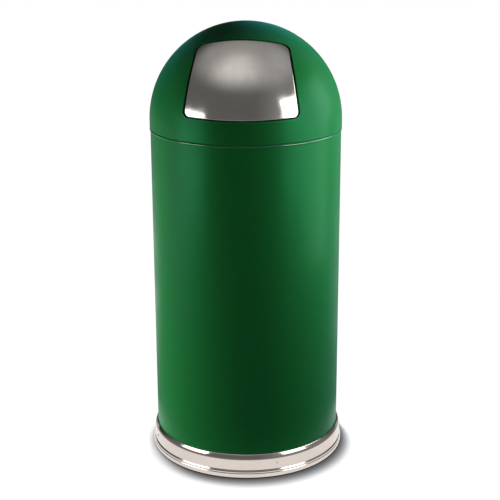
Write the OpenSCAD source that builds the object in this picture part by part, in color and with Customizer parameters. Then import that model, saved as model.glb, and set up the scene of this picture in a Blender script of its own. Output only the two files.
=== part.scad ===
// Dome top waste receptacle: a round steel bin with a stainless base ring, a lift-off dome
// with a self-closing push door, and a galvanised liner with a bail.
// The origin is on the floor at the bin's axis, +Z is up and the door faces -Y.

/* [Body] */
// Outside diameter of the tubular body
body_d = 381; // [370:1:400]
// Thickness of the body's steel sheet
body_t = 1; // [0.8:0.1:1.5]
// Height of the centre of the bead rolled round the body's top edge
body_bead_z = 678.2; // [600:0.1:760]
// Radius of that bead
body_bead_r = 2; // [1.5:0.1:2.5]
// How far the bead stands out from the body's side
body_bead_out = 1.55; // [1:0.05:2]
// Height of the body's lower edge inside the base ring
body_bottom_z = 6; // [5:0.5:8]
// Height of the floor pan's upper face
floor_z = 21; // [18:0.5:26]
// Depth of the floor pan's turned-down flange
floor_flange = 13; // [8:0.5:14]

/* [Base ring] */
// Outside diameter of the base ring at the floor
base_d = 400; // [398:0.5:402]
// Height of the base ring
base_h = 49.6; // [46:0.1:52]
// Outside radius of the base ring's plain band
band_r = 196.8; // [196:0.1:197.5]
// Thickness of the stainless sheet
base_t = 0.8; // [0.6:0.1:1]
// Thickness of the vinyl floor ring under the metal
gasket_t = 1.2; // [1:0.1:2]
// Number of rivets that hold the base ring
base_rivets = 4; // [3:1:8]
// Angle of the first rivet from the front, towards the right
base_rivet_angle = 21; // [10:1:40]
// Height of the rivets
base_rivet_z = 30; // [26:0.5:34]

/* [Dome] */
// Outside radius of the half-round dome
dome_r = 191.8; // [191:0.1:195]
// Height of the dome's centre above the floor
dome_z = 695.7; // [620:0.1:780]
// Thickness of the spun dome
dome_t = 1.2; // [1:0.1:1.5]
// Radius of the hem rolled in at the dome's lower edge
hem_r = 3; // [2.5:0.1:3.5]
// Height of the locating collar's lower edge
collar_bottom_z = 660; // [600:1:664]

/* [Door] */
// Angle above the horizontal that the door faces
door_tilt = 35; // [30:1:40]
// Distance of the door's straight upper edge above the door's middle line
door_top = 84; // [78:0.5:86]
// Half width of the door on its middle line
door_side = 98.8; // [94:0.2:100]
// Angle at which the door's sides draw in towards the top
door_taper = 8.8; // [6:0.1:10]
// Distance of the door's curved lower edge below the middle line
door_bottom = 82.6; // [80:0.2:86]
// Radius of that lower edge
door_bottom_r = 290; // [270:1:320]
// Radius of the door's upper corners
door_top_corner = 16; // [12:0.5:18]
// Radius of the door's lower corners
door_low_corner = 14; // [10:0.5:16]
// Gap between the door and the mouth it closes
mouth_gap = 2.5; // [2.2:0.1:3]
// Thickness of the door's stainless sheet
door_t = 1; // [0.8:0.1:1.2]
// Depth of the flange turned in round the door
door_flange = 8; // [6:0.5:8]
// Depth of the flange turned in round the mouth
mouth_flange = 7; // [5:0.5:7]

/* [Hinge] */
// Place of the hinge rod above the door's middle line
hinge_v = 72; // [70:0.5:73]
// Place of the hinge rod outwards from the dome's centre
hinge_w = 136; // [134:0.5:138]
// Diameter of the hinge rod
rod_d = 6; // [5:0.5:7]
// Distance of each door arm from the middle
arm_x = 70; // [66:1:72]
// Distance of each dome bracket from the middle
bracket_x = 95; // [94:0.5:97]
// Diameter of the wire of the two torsion springs
spring_wire = 1.6; // [1.2:0.1:1.8]
// Mean radius of the springs
spring_r = 6; // [5.5:0.1:6.3]
// Whole turns of each spring, before the part turn to its second leg
spring_turns = 6; // [5:1:6]

/* [Liner] */
// Outside radius of the liner's wall at the floor
liner_low_r = 160.8; // [150:0.2:162]
// Outside radius of the liner's wall at the rim
liner_top_r = 171.2; // [169:0.1:172]
// Height of the middle of the liner's wired rim
rim_z = 660; // [656:0.5:662]
// Radius of the wired rim
rim_r = 3; // [2.5:0.1:3.2]
// Thickness of the galvanised sheet
liner_t = 0.8; // [0.6:0.1:1]
// Heights of the stiffening beads swaged in the wall
bead_heights = [110, 335, 560];
// Height of the liner's raised floor
liner_floor_z = 28; // [25:0.5:36]

/* [Bail] */
// Radius of the bail's half circle, to the wire's centre
bail_r = 181; // [180.6:0.1:181.4]
// Diameter of the bail's wire
bail_d = 5; // [4:0.5:5]
// Height of the bail's pivots
bail_z = 642; // [638:0.5:644]
// Angle at which the bail droops behind the liner
bail_droop = 14.2; // [14.2:0.1:16]
// Radius of the tube on the bail
grip_r = 5; // [4:0.1:5]
// Length of the tube along the bail, as an angle
grip_angle = 32; // [20:1:40]

/* [Hidden] */
$fn = 144;

// Colours, as on the real finishes
paint_green = "#0b5a33";
stainless = "#c9c4bd";
steel = "#9a9ca0";
galvanised = "#b4b9bc";
rubber_black = "#1c1c1c";
nylon_white = "#e8e6df";

body_r = body_d / 2;
body_in = body_r - body_t;
base_r = base_d / 2;
dome_in = dome_r - dome_t;
door_in = dome_r - door_t;
rod_r = rod_d / 2;
bail_wire_r = bail_d / 2;
running = 0.08;      // clearance all round a shaft in its hole
seat = 0.05;         // gap that keeps resting pieces from overlapping
far = 400;           // longer than any cut needs to be

// The hem rests on the body's bead: the two round edges meet seat apart
bead_centre_r = body_r + body_bead_out - body_bead_r;
hem_centre_r = dome_r - hem_r;
hem_z = body_bead_z + sqrt(pow(body_bead_r + hem_r + seat, 2) - pow(bead_centre_r - hem_centre_r, 2));

// ---------------------------------------------------------------- shared shapes

// The door's own frame: X across, Y up along the door, Z straight out of the dome's centre
module door_frame() {
    translate([0, 0, dome_z]) rotate([90 - door_tilt, 0, 0]) children();
}

// A flat plate t thick across X, drawn in the (up, out) plane of the door's frame
module plate_across(x, t) {
    translate([x, 0, 0]) rotate([90, 0, 90]) linear_extrude(t) children();
}

// A round bar on the hinge's line
module rod_across(x0, x1, r) {
    translate([x0, hinge_v, hinge_w]) rotate([0, 90, 0]) cylinder(r = r, h = x1 - x0);
}

// Ball in the door's frame, with its poles above and below the door
module ball(r) {
    rotate([90, 0, 0]) sphere(r = r);
}

module tube(r_out, r_in, z0, z1) {
    translate([0, 0, z0]) difference() {
        cylinder(r = r_out, h = z1 - z0);
        translate([0, 0, -1]) cylinder(r = r_in, h = z1 - z0 + 2);
    }
}

// What has the given sign of X: the left piece is the right one's mirror image
module on_side(side) {
    mirror([side < 0 ? 1 : 0, 0, 0]) children();
}

// The door's outline, grown by g. Its corners and lower edge keep their centres.
side_normal = [cos(door_taper), sin(door_taper)];
side_distance = door_side * cos(door_taper);
bottom_centre = [0, door_bottom_r - door_bottom];
// a point at distance d inside the side line, at height v
function inside_side(d, v) = [(side_distance - d - v * side_normal[1]) / side_normal[0], v];
top_corner_at = inside_side(door_top_corner, door_top - door_top_corner);
// the lower corner also touches the lower edge from inside: a quadratic in its height
low_slope = tan(door_taper);
low_x0 = (side_distance - door_low_corner) / side_normal[0];
low_a = 1 + low_slope * low_slope;
low_b = -2 * (low_x0 * low_slope + bottom_centre[1]);
low_c = low_x0 * low_x0 + pow(bottom_centre[1], 2) - pow(door_bottom_r - door_low_corner, 2);
low_v = (-low_b - sqrt(low_b * low_b - 4 * low_a * low_c)) / (2 * low_a);
low_corner_at = inside_side(door_low_corner, low_v);
low_dir = (low_corner_at - bottom_centre) / norm(low_corner_at - bottom_centre);

// n + 1 points along an arc about c, from angle a0 to angle a1
function arc(c, r, a0, a1, n) = [for (i = [0:n]) let (a = a0 + (a1 - a0) * i / n) c + r * [cos(a), sin(a)]];

module door_outline(g = 0) {
    steps = 8;
    low_angle = atan2(low_dir[1], low_dir[0]);
    right = concat(
        arc(bottom_centre, door_bottom_r + g, -90, low_angle, steps),
        [for (i = [1:steps]) arc(low_corner_at, door_low_corner + g, low_angle, door_taper, steps)[i]],
        arc(top_corner_at, door_top_corner + g, door_taper, 90, steps)
    );
    left = [for (i = [len(right) - 1:-1:1]) [-right[i][0], right[i][1]]];
    polygon(concat(right, left));
}

module door_prism(g = 0) {
    linear_extrude(far) door_outline(g);
}

// ---------------------------------------------------------------- body

module body_shell() {
    bead_wall = 0.9;
    into_bead = 0.4;
    groove = 0.5;
    groove_top_z = body_bead_z - 5;
    color(paint_green) difference() {
        rotate_extrude($fn = 180) {
            translate([body_in, body_bottom_z])
                square([body_t, body_bead_z - body_bead_r + into_bead - body_bottom_z]);
            translate([bead_centre_r, body_bead_z]) difference() {
                circle(r = body_bead_r, $fn = 48);
                circle(r = body_bead_r - bead_wall, $fn = 48);
            }
        }
        // the lap seam shows as a fine groove down the back
        translate([-groove, body_r - groove, 0]) cube([2 * groove, 2, groove_top_z]);
        for (i = [0:base_rivets - 1]) at_base_rivet(i) rivet_hole();
    }
}

// Strip welded inside the seam
module body_seam_strip() {
    half_angle = 3;
    strip_z = [floor_z + 3, body_bead_z - 6];
    color(steel) rotate([0, 0, 90 - half_angle]) rotate_extrude(angle = 2 * half_angle)
        translate([body_in - body_t, strip_z[0]]) square([body_t, strip_z[1] - strip_z[0]]);
}

// Pressed pan with a turned-down flange, welded inside the body
module body_floor() {
    color(paint_green) rotate_extrude($fn = 180) {
        translate([0, floor_z - body_t]) square([body_in, body_t]);
        translate([body_in - body_t, floor_z - floor_flange]) square([body_t, floor_flange - body_t / 2]);
    }
}

// ---------------------------------------------------------------- base ring

rivet_r = 1.2;
ring_foot_r = body_r - 3.5;      // inner edge of the ring's turned-in foot
ring_edge_r = base_r - 3;        // where that foot turns up into the rim

module at_base_rivet(i) {
    rotate([0, 0, base_rivet_angle - 90 + i * 360 / base_rivets])
        translate([0, 0, base_rivet_z]) rotate([0, 90, 0]) children();
}

module rivet_hole() {
    translate([0, 0, body_r - 10]) cylinder(r = rivet_r + 0.05, h = 20, $fn = 32);
}

// Rolled stainless section: a lip round the body, a sloping shoulder, a plain band, two small
// steps and a rim whose lower edge curls in to the foot
module base_ring() {
    lip_r = body_r + 2.5;
    shoulder_z = 42.7;
    step_z = [17.2, 13.4, 11.2, 9.6];
    step_r = [band_r + 2.3, band_r + 2.4];
    curl_z = [4.6, 2.6];
    curl_r = base_r - 0.9;
    t = base_t;
    outer = [
        [body_r, base_h], [lip_r - 0.8, base_h], [lip_r, base_h - 0.6], [band_r, shoulder_z],
        [band_r, step_z[0]], [step_r[0], step_z[1]], [step_r[1], step_z[2]], [base_r, step_z[3]],
        [base_r, curl_z[0]], [curl_r, curl_z[1]], [ring_edge_r, gasket_t]
    ];
    inner = [
        [ring_foot_r, gasket_t], [ring_foot_r, gasket_t + t], [ring_edge_r - 0.2, gasket_t + t],
        [curl_r - 0.7, curl_z[1] + 0.5], [base_r - t, curl_z[0] + 0.2],
        [base_r - t, step_z[3] - 0.2], [step_r[1] - t, step_z[2] - 0.2],
        [step_r[0] - t, step_z[1] - 0.2], [band_r - t, step_z[0] - 0.2],
        [band_r - t, shoulder_z - 0.4], [lip_r - t, base_h - t], [body_r, base_h - t]
    ];
    color(stainless) difference() {
        rotate_extrude($fn = 180) polygon(concat(outer, inner));
        for (i = [0:base_rivets - 1]) at_base_rivet(i) rivet_hole();
    }
}

// Each rivet has a low head, a shank, a spacer between ring and body, and a set head inside
module base_ring_rivets() {
    head_r = 2.6;
    head_h = 0.9;
    color(stainless) for (i = [0:base_rivets - 1]) at_base_rivet(i) {
        cylinder_between(rivet_r, body_in - 1, band_r + 0.2);
        difference() {
            cylinder_between(head_r, band_r - 1, band_r + head_h);
            rotate([0, -90, 0]) tube(band_r, 100, -9, 9);
        }
        difference() {
            cylinder_between(head_r, body_r - 1, band_r - base_t + 1);
            rotate([0, -90, 0]) tube(body_r, 100, -9, 9);
            rotate([0, -90, 0]) tube(band_r + 9, band_r - base_t, -9, 9);
        }
        difference() {
            cylinder_between(head_r, body_in - 1, body_in + 1);
            rotate([0, -90, 0]) tube(body_r + 9, body_in, -9, 9);
        }
    }
}

module cylinder_between(r, h0, h1) {
    translate([0, 0, h0]) cylinder(r = r, h = h1 - h0, $fn = 32);
}

// Vinyl channel pressed on the base ring's turned-in foot
module floor_gasket() {
    inner_r = ring_foot_r - 1.8;
    foot_top = gasket_t + base_t;
    lip_top = foot_top + gasket_t;
    color(rubber_black) rotate_extrude($fn = 180) polygon([
        [inner_r, 0], [ring_edge_r, 0], [ring_edge_r, gasket_t], [ring_foot_r, gasket_t],
        [ring_foot_r, foot_top], [body_r, foot_top], [body_r, lip_top], [inner_r, lip_top]
    ]);
}

// ---------------------------------------------------------------- dome

// Spun dome with a straight skirt and a rolled hem; the mouth's edge is turned in
module dome_shell() {
    color(paint_green) difference() {
        union() {
            rotate_extrude($fn = 180) dome_section();
            door_frame() difference() {
                intersection() {
                    door_prism(mouth_gap + dome_t);
                    ball(dome_r - dome_t / 2);
                }
                ball(dome_r - mouth_flange);
            }
        }
        door_frame() door_prism(mouth_gap);
    }
}

module dome_section() {
    // half-round top
    translate([0, dome_z]) intersection() {
        difference() {
            circle(r = dome_r, $fn = 360);
            circle(r = dome_in, $fn = 360);
        }
        square([far, far]);
    }
    // skirt
    translate([dome_in, hem_z]) square([dome_t, dome_z - hem_z]);
    // hem
    translate([hem_centre_r, hem_z]) intersection() {
        difference() {
            circle(r = hem_r, $fn = 72);
            circle(r = hem_r - dome_t, $fn = 72);
        }
        translate([0, -far]) square([far, far]);
    }
}

// Joggled ring welded inside the skirt; its lower half drops inside the body's bead
module dome_collar() {
    t = 0.8;
    play = 0.6;
    low_r = bead_centre_r - body_bead_r - play;
    weld_z = [dome_z - 1.7, dome_z - 9.2];
    joggle_z = hem_z - 0.5;
    color(steel) rotate_extrude($fn = 180) polygon([
        [dome_in, weld_z[0]], [dome_in, weld_z[1]], [low_r, joggle_z], [low_r, collar_bottom_z],
        [low_r - t, collar_bottom_z], [low_r - t, joggle_z + t / 2],
        [dome_in - t, weld_z[1] + t / 2], [dome_in - t, weld_z[0]]
    ]);
}

// Bracket with a foot welded under the dome, beside the mouth
module hinge_bracket(side) {
    t = 2;
    boss_r = 8;
    foot_v = [60, 92];
    foot_w = 16;
    color(steel) door_frame() on_side(side) difference() {
        intersection() {
            union() {
                plate_across(bracket_x, t) union() {
                    translate([hinge_v, hinge_w]) circle(r = boss_r, $fn = 64);
                    translate([hinge_v - boss_r, hinge_w]) square([2 * boss_r, far - hinge_w]);
                }
                difference() {
                    translate([bracket_x, foot_v[0], 0]) cube([foot_w, foot_v[1] - foot_v[0], far]);
                    ball(dome_in - t / 2);
                }
            }
            ball(dome_in);
        }
        rod_across(bracket_x - 1, bracket_x + 5, rod_r + running);
    }
}

module hinge_bracket_left() { hinge_bracket(-1); }
module hinge_bracket_right() { hinge_bracket(1); }

rod_end = bracket_x + 6;

module hinge_rod() {
    color(steel) door_frame() rod_across(-rod_end, rod_end, rod_r);
}

// Push-on caps that hold the rod endways
module hinge_rod_caps() {
    cap_r = 5;
    color(steel) door_frame() for (side = [-1, 1]) on_side(side) difference() {
        rod_across(bracket_x + 2.2, bracket_x + 5.2, cap_r);
        rod_across(bracket_x, rod_end + 1, rod_r);
    }
}

// Rubber buttons under the mouth that the door's stop lip closes against
bumper_face = 183;       // distance of their faces from the dome's centre
bumper_at = [34, -92];   // their place beside and below the door's middle

module stop_bumpers() {
    w = sqrt(pow(dome_in, 2) - pow(bumper_at[0], 2) - pow(bumper_at[1], 2));
    color(rubber_black) door_frame() for (side = [-1, 1]) on_side(side) intersection() {
        rotate([0, acos(w / dome_in), atan2(bumper_at[1], bumper_at[0])])
            translate([0, 0, bumper_face]) cylinder(r = 6, h = 20, $fn = 48);
        ball(dome_in);
    }
}

// ---------------------------------------------------------------- door

// Stainless panel pressed to the dome's curve, its edge turned in all round
module door_panel() {
    color(stainless) door_frame() difference() {
        intersection() {
            door_prism();
            ball(dome_r);
        }
        ball(dome_r - door_flange);
        intersection() {
            door_prism(-door_t);
            ball(door_in);
        }
    }
}

bushing_r = 4.5;

// Arm welded behind the door, with the eye that turns on the rod
module hinge_arm(side) {
    t = 2;
    boss_r = 8;
    foot_v = [16, 52];
    foot_w = 14;
    foot_t = 1.2;
    color(steel) door_frame() on_side(side) difference() {
        intersection() {
            union() {
                plate_across(arm_x, t) {
                    translate([hinge_v, hinge_w]) circle(r = boss_r, $fn = 64);
                    polygon([
                        [hinge_v + boss_r - 2, hinge_w + 5], [hinge_v - 2, far], [foot_v[0], far],
                        [foot_v[0], 165], [hinge_v - boss_r, hinge_w]
                    ]);
                }
                difference() {
                    translate([arm_x, foot_v[0], 0]) cube([foot_w, foot_v[1] - foot_v[0], far]);
                    ball(door_in - foot_t);
                }
            }
            ball(door_in);
        }
        rod_across(arm_x - 1, arm_x + 5, bushing_r + 0.02);
    }
}

module hinge_arm_left() { hinge_arm(-1); }
module hinge_arm_right() { hinge_arm(1); }

// Flanged nylon bushes pressed in the arms' eyes
module hinge_bushings() {
    color(nylon_white) door_frame() for (side = [-1, 1]) on_side(side) difference() {
        union() {
            rod_across(arm_x - 1.2, arm_x, 6.5);
            rod_across(arm_x - 1, arm_x + 5, bushing_r);
        }
        rod_across(arm_x - 3, arm_x + 8, rod_r + running);
    }
}

// Strip welded inside the lower edge; it reaches below the mouth and stops against the rubber
module stop_lip() {
    half_w = 44;
    t = 1.2;
    web_v = -76;
    low_v_edge = -96;
    high_v_edge = -60;
    lip_out = bumper_face - 0.05;
    color(steel) door_frame() difference() {
        intersection() {
            translate([-half_w, low_v_edge, 0]) cube([2 * half_w, high_v_edge - low_v_edge, far]);
            ball(door_in);
        }
        ball(lip_out - t);
        intersection() {
            translate([-far, web_v, 0]) cube([2 * far, far, far]);
            ball(door_in - t);
        }
        difference() {
            translate([-far, web_v - t - far, 0]) cube([2 * far, far, far]);
            ball(lip_out);
        }
    }
}

// ---------------------------------------------------------------- torsion springs

// The wire runs from the dome's skin through the coil to the back of the door
spring_x = [bracket_x - 1.6, arm_x + 8.6];   // where the coil starts and ends
spring_dome_dir = [-0.8, -0.6];              // towards the coil, from the dome
spring_door_dir = [-0.66, 0.7513];           // away from the coil, to the door
rings_per_turn = 8;
spring_sides = 6;

// angle round the rod where the wire runs in direction d: the coil's angle grows along the wire
function spring_angle(d) = atan2(-d[0], d[1]);
spring_a0 = spring_angle(spring_dome_dir);
spring_a1 = spring_angle(spring_door_dir) + 360 * spring_turns;
spring_rings = ceil((spring_a1 - spring_a0) / 360 * rings_per_turn);

function coil_point(i) =
    let (f = i / spring_rings, a = spring_a0 + f * (spring_a1 - spring_a0))
    [spring_x[0] + f * (spring_x[1] - spring_x[0]),
     hinge_v + spring_r * cos(a), hinge_w + spring_r * sin(a)];

// length from p along d to the inside of a skin of radius r, less the wire's own radius
function reach(p, d, r) =
    let (u = [0, d[0], d[1]] / norm(d), s = r - spring_wire / 2 - 0.1, k = p * u)
    -k + sqrt(k * k - p * p + s * s);

function leg_end(p, d, r) = p + reach(p, d, r) * [0, d[0], d[1]] / norm(d);

spring_path = concat(
    [leg_end(coil_point(0), -spring_dome_dir, dome_in)],
    [for (i = [0:spring_rings]) coil_point(i)],
    [leg_end(coil_point(spring_rings), spring_door_dir, door_in)]
);

function unit(v) = v / norm(v);
function along(p, i) = unit(p[min(i + 1, len(p) - 1)] - p[max(i - 1, 0)]);

// ring of points round the wire at point i; one side vector always leans along the rod
function wire_ring(p, i) =
    let (d = along(p, i), side = unit([1, 0, 0] - d[0] * d), other = cross(d, side))
    [for (k = [0:spring_sides - 1])
        let (a = 360 * k / spring_sides)
        p[i] + spring_wire / 2 * (cos(a) * side + sin(a) * other)];

module torsion_spring(side) {
    n = len(spring_path);
    s = spring_sides;
    points = [for (i = [0:n - 1]) each wire_ring(spring_path, i)];
    walls = [for (i = [0:n - 2], k = [0:s - 1], half = [0, 1])
        let (a = i * s + k, b = i * s + (k + 1) % s)
        half == 0 ? [a, b, b + s] : [a, b + s, a + s]];
    ends = [for (k = [1:s - 2], e = [0, 1])
        e == 0 ? [0, k + 1, k] : [(n - 1) * s, (n - 1) * s + k, (n - 1) * s + k + 1]];
    color(steel) door_frame() on_side(side)
        polyhedron(points = points, faces = [for (f = concat(walls, ends)) [f[0], f[2], f[1]]]);
}

module torsion_spring_left() { torsion_spring(-1); }
module torsion_spring_right() { torsion_spring(1); }

// least gap between points of the coil one turn apart, less the wire
coil_gap = min([for (i = [0:spring_rings - rings_per_turn], j = [i + rings_per_turn - 2:spring_rings])
    norm(coil_point(i) - coil_point(j))]) - spring_wire;
echo(spring_least_gap = coil_gap);

// ---------------------------------------------------------------- liner

liner_bottom_z = floor_z + seat;
liner_slope = (liner_top_r - liner_low_r) / (rim_z - liner_bottom_z);
function liner_r(z) = liner_low_r + liner_slope * (z - liner_bottom_z);

// Solid cone of the liner's outside, grown by g
module liner_cone(g = 0, z0 = liner_bottom_z, z1 = rim_z) {
    translate([0, 0, z0]) cylinder(r1 = liner_r(z0) + g, r2 = liner_r(z1) + g, h = z1 - z0, $fn = 180);
}

liner_seam_angle = -45;   // from +X, to the right of the door
bead_out = 2.2;

// Half section of the liner's outside, drawn in by g and made longer by over at both ends
module liner_section(g, over = 0) {
    z0 = liner_bottom_z - over;
    z1 = rim_z + over;
    polygon([[0, z0], [liner_r(z0) - g, z0], [liner_r(z1) - g, z1], [0, z1]]);
    for (z = bead_heights) translate([liner_r(z) - 2, z]) circle(r = bead_out + 2 - g, $fn = 48);
}

module liner_wall() {
    color(galvanised) difference() {
        rotate_extrude($fn = 180) difference() {
            liner_section(0);
            liner_section(liner_t, 1);
            rim_section();
        }
        for (side = [-1, 1]) on_side(side) at_ear_rivets() ear_rivet_hole();
    }
}

// Raised floor with its flange turned down inside the wall
module liner_floor() {
    gap = 0.02;
    r_low = liner_r(liner_bottom_z) - liner_t - gap;
    r_high = liner_r(liner_floor_z) - liner_t - gap;
    color(galvanised) rotate_extrude($fn = 180) polygon([
        [0, liner_floor_z], [r_high, liner_floor_z], [r_low, liner_bottom_z],
        [r_low - liner_t, liner_bottom_z], [r_high - liner_t, liner_floor_z - liner_t],
        [0, liner_floor_z - liner_t]
    ]);
}

// Top edge rolled round a wire
module rim_section() {
    translate([liner_r(rim_z) - 0.2, rim_z]) circle(r = rim_r, $fn = 48);
}

module liner_rim() {
    color(galvanised) rotate_extrude($fn = 180) rim_section();
}

// Strip over the wall's side seam, between the beads
module liner_seam() {
    half_angle = 1.8;
    seam_t = 0.8;
    margin = 6;
    ends = concat([liner_bottom_z + 9], bead_heights, [rim_z - 4]);
    color(galvanised) rotate([0, 0, liner_seam_angle - half_angle])
        for (i = [0:len(ends) - 2]) {
            z0 = ends[i] + (i == 0 ? 0 : margin);
            z1 = ends[i + 1] - margin;
            rotate_extrude(angle = 2 * half_angle) polygon([
                [liner_r(z0), z0], [liner_r(z0) + seam_t, z0], [liner_r(z1) + seam_t, z1],
                [liner_r(z1), z1]
            ]);
        }
}

// Hat-shaped ear riveted to the wall, with the hole for the bail's end
ear_z = [627, 653];
ear_face = 177.2;
ear_t = 1.2;

module bail_ear(side) {
    hat_y = 13;
    foot_y = 25;
    height = ear_z[1] - ear_z[0];
    color(galvanised) on_side(side) difference() {
        union() {
            translate([120, -hat_y, ear_z[0]]) cube([ear_face - 120, 2 * hat_y, height]);
            intersection() {
                translate([120, -foot_y, ear_z[0]]) cube([60, 2 * foot_y, height]);
                liner_cone(ear_t);
            }
        }
        liner_cone();
        translate([119, -hat_y + ear_t, ear_z[0] - 1])
            cube([ear_face - ear_t - 119, 2 * (hat_y - ear_t), height + 2]);
        translate([0, 0, bail_z]) rotate([0, 90, 0]) cylinder(r = bail_wire_r + 0.1, h = far, $fn = 48);
        at_ear_rivets() ear_rivet_hole();
    }
}

module bail_ear_left() { bail_ear(-1); }
module bail_ear_right() { bail_ear(1); }

ear_rivet_r = 1.6;

module at_ear_rivets() {
    for (y = [-19, 19], z = [633, 647])
        rotate([0, 0, asin(y / liner_r(z))]) translate([0, 0, z]) rotate([0, 90, 0]) children();
}

module ear_rivet_hole() {
    translate([0, 0, liner_top_r - 12]) cylinder(r = ear_rivet_r + 0.05, h = 20, $fn = 32);
}

// Two rivets in each foot of both ears
module bail_ear_rivets() {
    head_r = 3.2;
    inner_wall = liner_top_r - 1.6;
    color(galvanised) for (side = [-1, 1]) on_side(side) {
        difference() {
            at_ear_rivets() cylinder_between(head_r, inner_wall, liner_top_r + ear_t + 1.1);
            liner_cone(ear_t, ear_z[0] - 5, ear_z[1] + 5);
        }
        intersection() {
            at_ear_rivets() cylinder_between(head_r, inner_wall - 1.6, liner_top_r);
            liner_cone(-liner_t, ear_z[0] - 5, ear_z[1] + 5);
        }
        at_ear_rivets() cylinder_between(ear_rivet_r, inner_wall, liner_top_r + ear_t + 0.5);
    }
}

// ---------------------------------------------------------------- bail

// The bail's own frame at rest: its half circle lies in the plane of X and Y
module bail_frame() {
    translate([0, 0, bail_z]) rotate([-bail_droop, 0, 0]) children();
}

// Half circle of wire whose ends turn in through the ears and are upset behind them
module bail_wire() {
    pin_end = 174.2;
    head_h = 1.2;
    color(galvanised) bail_frame() {
        rotate_extrude(angle = 180, $fn = 180) translate([bail_r, 0]) circle(r = bail_wire_r, $fn = 32);
        for (side = [-1, 1]) on_side(side) {
            translate([bail_r, 0, 0]) sphere(r = bail_wire_r, $fn = 48);
            translate([pin_end, 0, 0]) rotate([0, 90, 0])
                cylinder(r = bail_wire_r, h = bail_r - pin_end, $fn = 48);
            translate([pin_end, 0, 0]) rotate([0, 90, 0]) cylinder(r = 4, h = head_h, $fn = 48);
        }
    }
}

// Split plastic tube snapped on the middle of the bail
module bail_grip() {
    color(rubber_black) bail_frame() rotate([0, 0, 90 - grip_angle / 2])
        rotate_extrude(angle = grip_angle, $fn = 180) translate([bail_r, 0]) difference() {
            circle(r = grip_r, $fn = 48);
            circle(r = bail_wire_r + 0.02, $fn = 48);
        }
}

// ---------------------------------------------------------------- nodes

body_shell();
body_seam_strip();
body_floor();
base_ring();
base_ring_rivets();
floor_gasket();
dome_shell();
dome_collar();
hinge_bracket_left();
hinge_bracket_right();
hinge_rod();
hinge_rod_caps();
stop_bumpers();
door_panel();
hinge_arm_left();
hinge_arm_right();
hinge_bushings();
stop_lip();
torsion_spring_left();
torsion_spring_right();
liner_wall();
liner_floor();
liner_rim();
liner_seam();
bail_ear_left();
bail_ear_right();
bail_ear_rivets();
bail_wire();
bail_grip();
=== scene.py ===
"""Dome top waste receptacle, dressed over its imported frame.

The sections follow the order in which the bin is put together: the foot, the body, the liner with
its bail, the dome with its hinge, and the door with its springs. The studio is last. Lengths are
in metres, and the bin stands on z = 0 with its door towards -y.
"""
import math

import bmesh
import bpy
from mathutils import Matrix, Vector


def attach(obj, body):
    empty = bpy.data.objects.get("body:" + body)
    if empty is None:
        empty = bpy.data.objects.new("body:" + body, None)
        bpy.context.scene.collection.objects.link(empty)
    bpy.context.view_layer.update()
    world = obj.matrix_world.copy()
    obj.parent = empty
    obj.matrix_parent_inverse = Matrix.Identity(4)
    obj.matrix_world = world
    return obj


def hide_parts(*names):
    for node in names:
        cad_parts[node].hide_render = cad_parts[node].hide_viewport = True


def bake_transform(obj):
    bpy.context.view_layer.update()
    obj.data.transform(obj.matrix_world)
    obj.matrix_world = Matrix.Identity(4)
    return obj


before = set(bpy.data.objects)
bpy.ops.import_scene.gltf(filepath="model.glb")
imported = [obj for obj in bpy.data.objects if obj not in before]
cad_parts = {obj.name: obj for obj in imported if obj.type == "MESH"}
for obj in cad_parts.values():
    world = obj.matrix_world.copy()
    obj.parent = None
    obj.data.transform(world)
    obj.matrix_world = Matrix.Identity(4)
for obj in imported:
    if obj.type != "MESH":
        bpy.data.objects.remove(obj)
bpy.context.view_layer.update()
MM = 0.001


# ---------------------------------------------------------------- vinyl floor ring
# The ring that the bin stands on: extruded black vinyl, pressed over the turned-in foot of the
# base ring so that the steel never scratches the floor.

def put_away():
    """Leaves nothing selected, so that the next operator acts on the new piece alone."""
    if bpy.context.mode != "OBJECT":
        bpy.ops.object.mode_set(mode="OBJECT")
    bpy.ops.object.select_all(action="DESELECT")


def take_up(piece):
    put_away()
    piece.select_set(True)
    bpy.context.view_layer.objects.active = piece


def open_up(piece):
    take_up(piece)
    bpy.ops.object.mode_set(mode="EDIT")
    bpy.ops.mesh.select_mode(type="EDGE")
    bpy.ops.mesh.select_all(action="SELECT")


def hoop(name, place, segments=240):
    """A hoop of edges round the bin's axis at place = (radius, height), open for editing."""
    put_away()
    bpy.ops.mesh.primitive_circle_add(vertices=segments, radius=place[0], location=(0, 0, place[1]))
    piece = bpy.context.object
    piece.name = piece.data.name = name
    bpy.ops.object.transform_apply(location=True)
    open_up(piece)
    return piece


def in_metres(*places):
    return [tuple(length * MM for length in place) for place in places]


def draw_wall(places):
    """Extrudes the selected hoop through each further place of the wall's outline."""
    for (r0, z0), (r1, z1) in zip(places, places[1:]):
        bpy.ops.mesh.extrude_region_move(TRANSFORM_OT_translate={"value": (0, 0, z1 - z0)})
        bpy.ops.transform.resize(value=(r1 / r0, r1 / r0, 1), center_override=(0, 0, 0))


def pick(piece, elements, test):
    """Selects those of the open piece's verts, edges or faces that pass the test."""
    bpy.ops.mesh.select_all(action="DESELECT")
    mesh = bmesh.from_edit_mesh(piece.data)
    for element in getattr(mesh, elements):
        element.select = test(element)
    if elements == "verts":
        mesh.select_flush(True)  # and so every edge between two of them
    bmesh.update_edit_mesh(piece.data)


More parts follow.
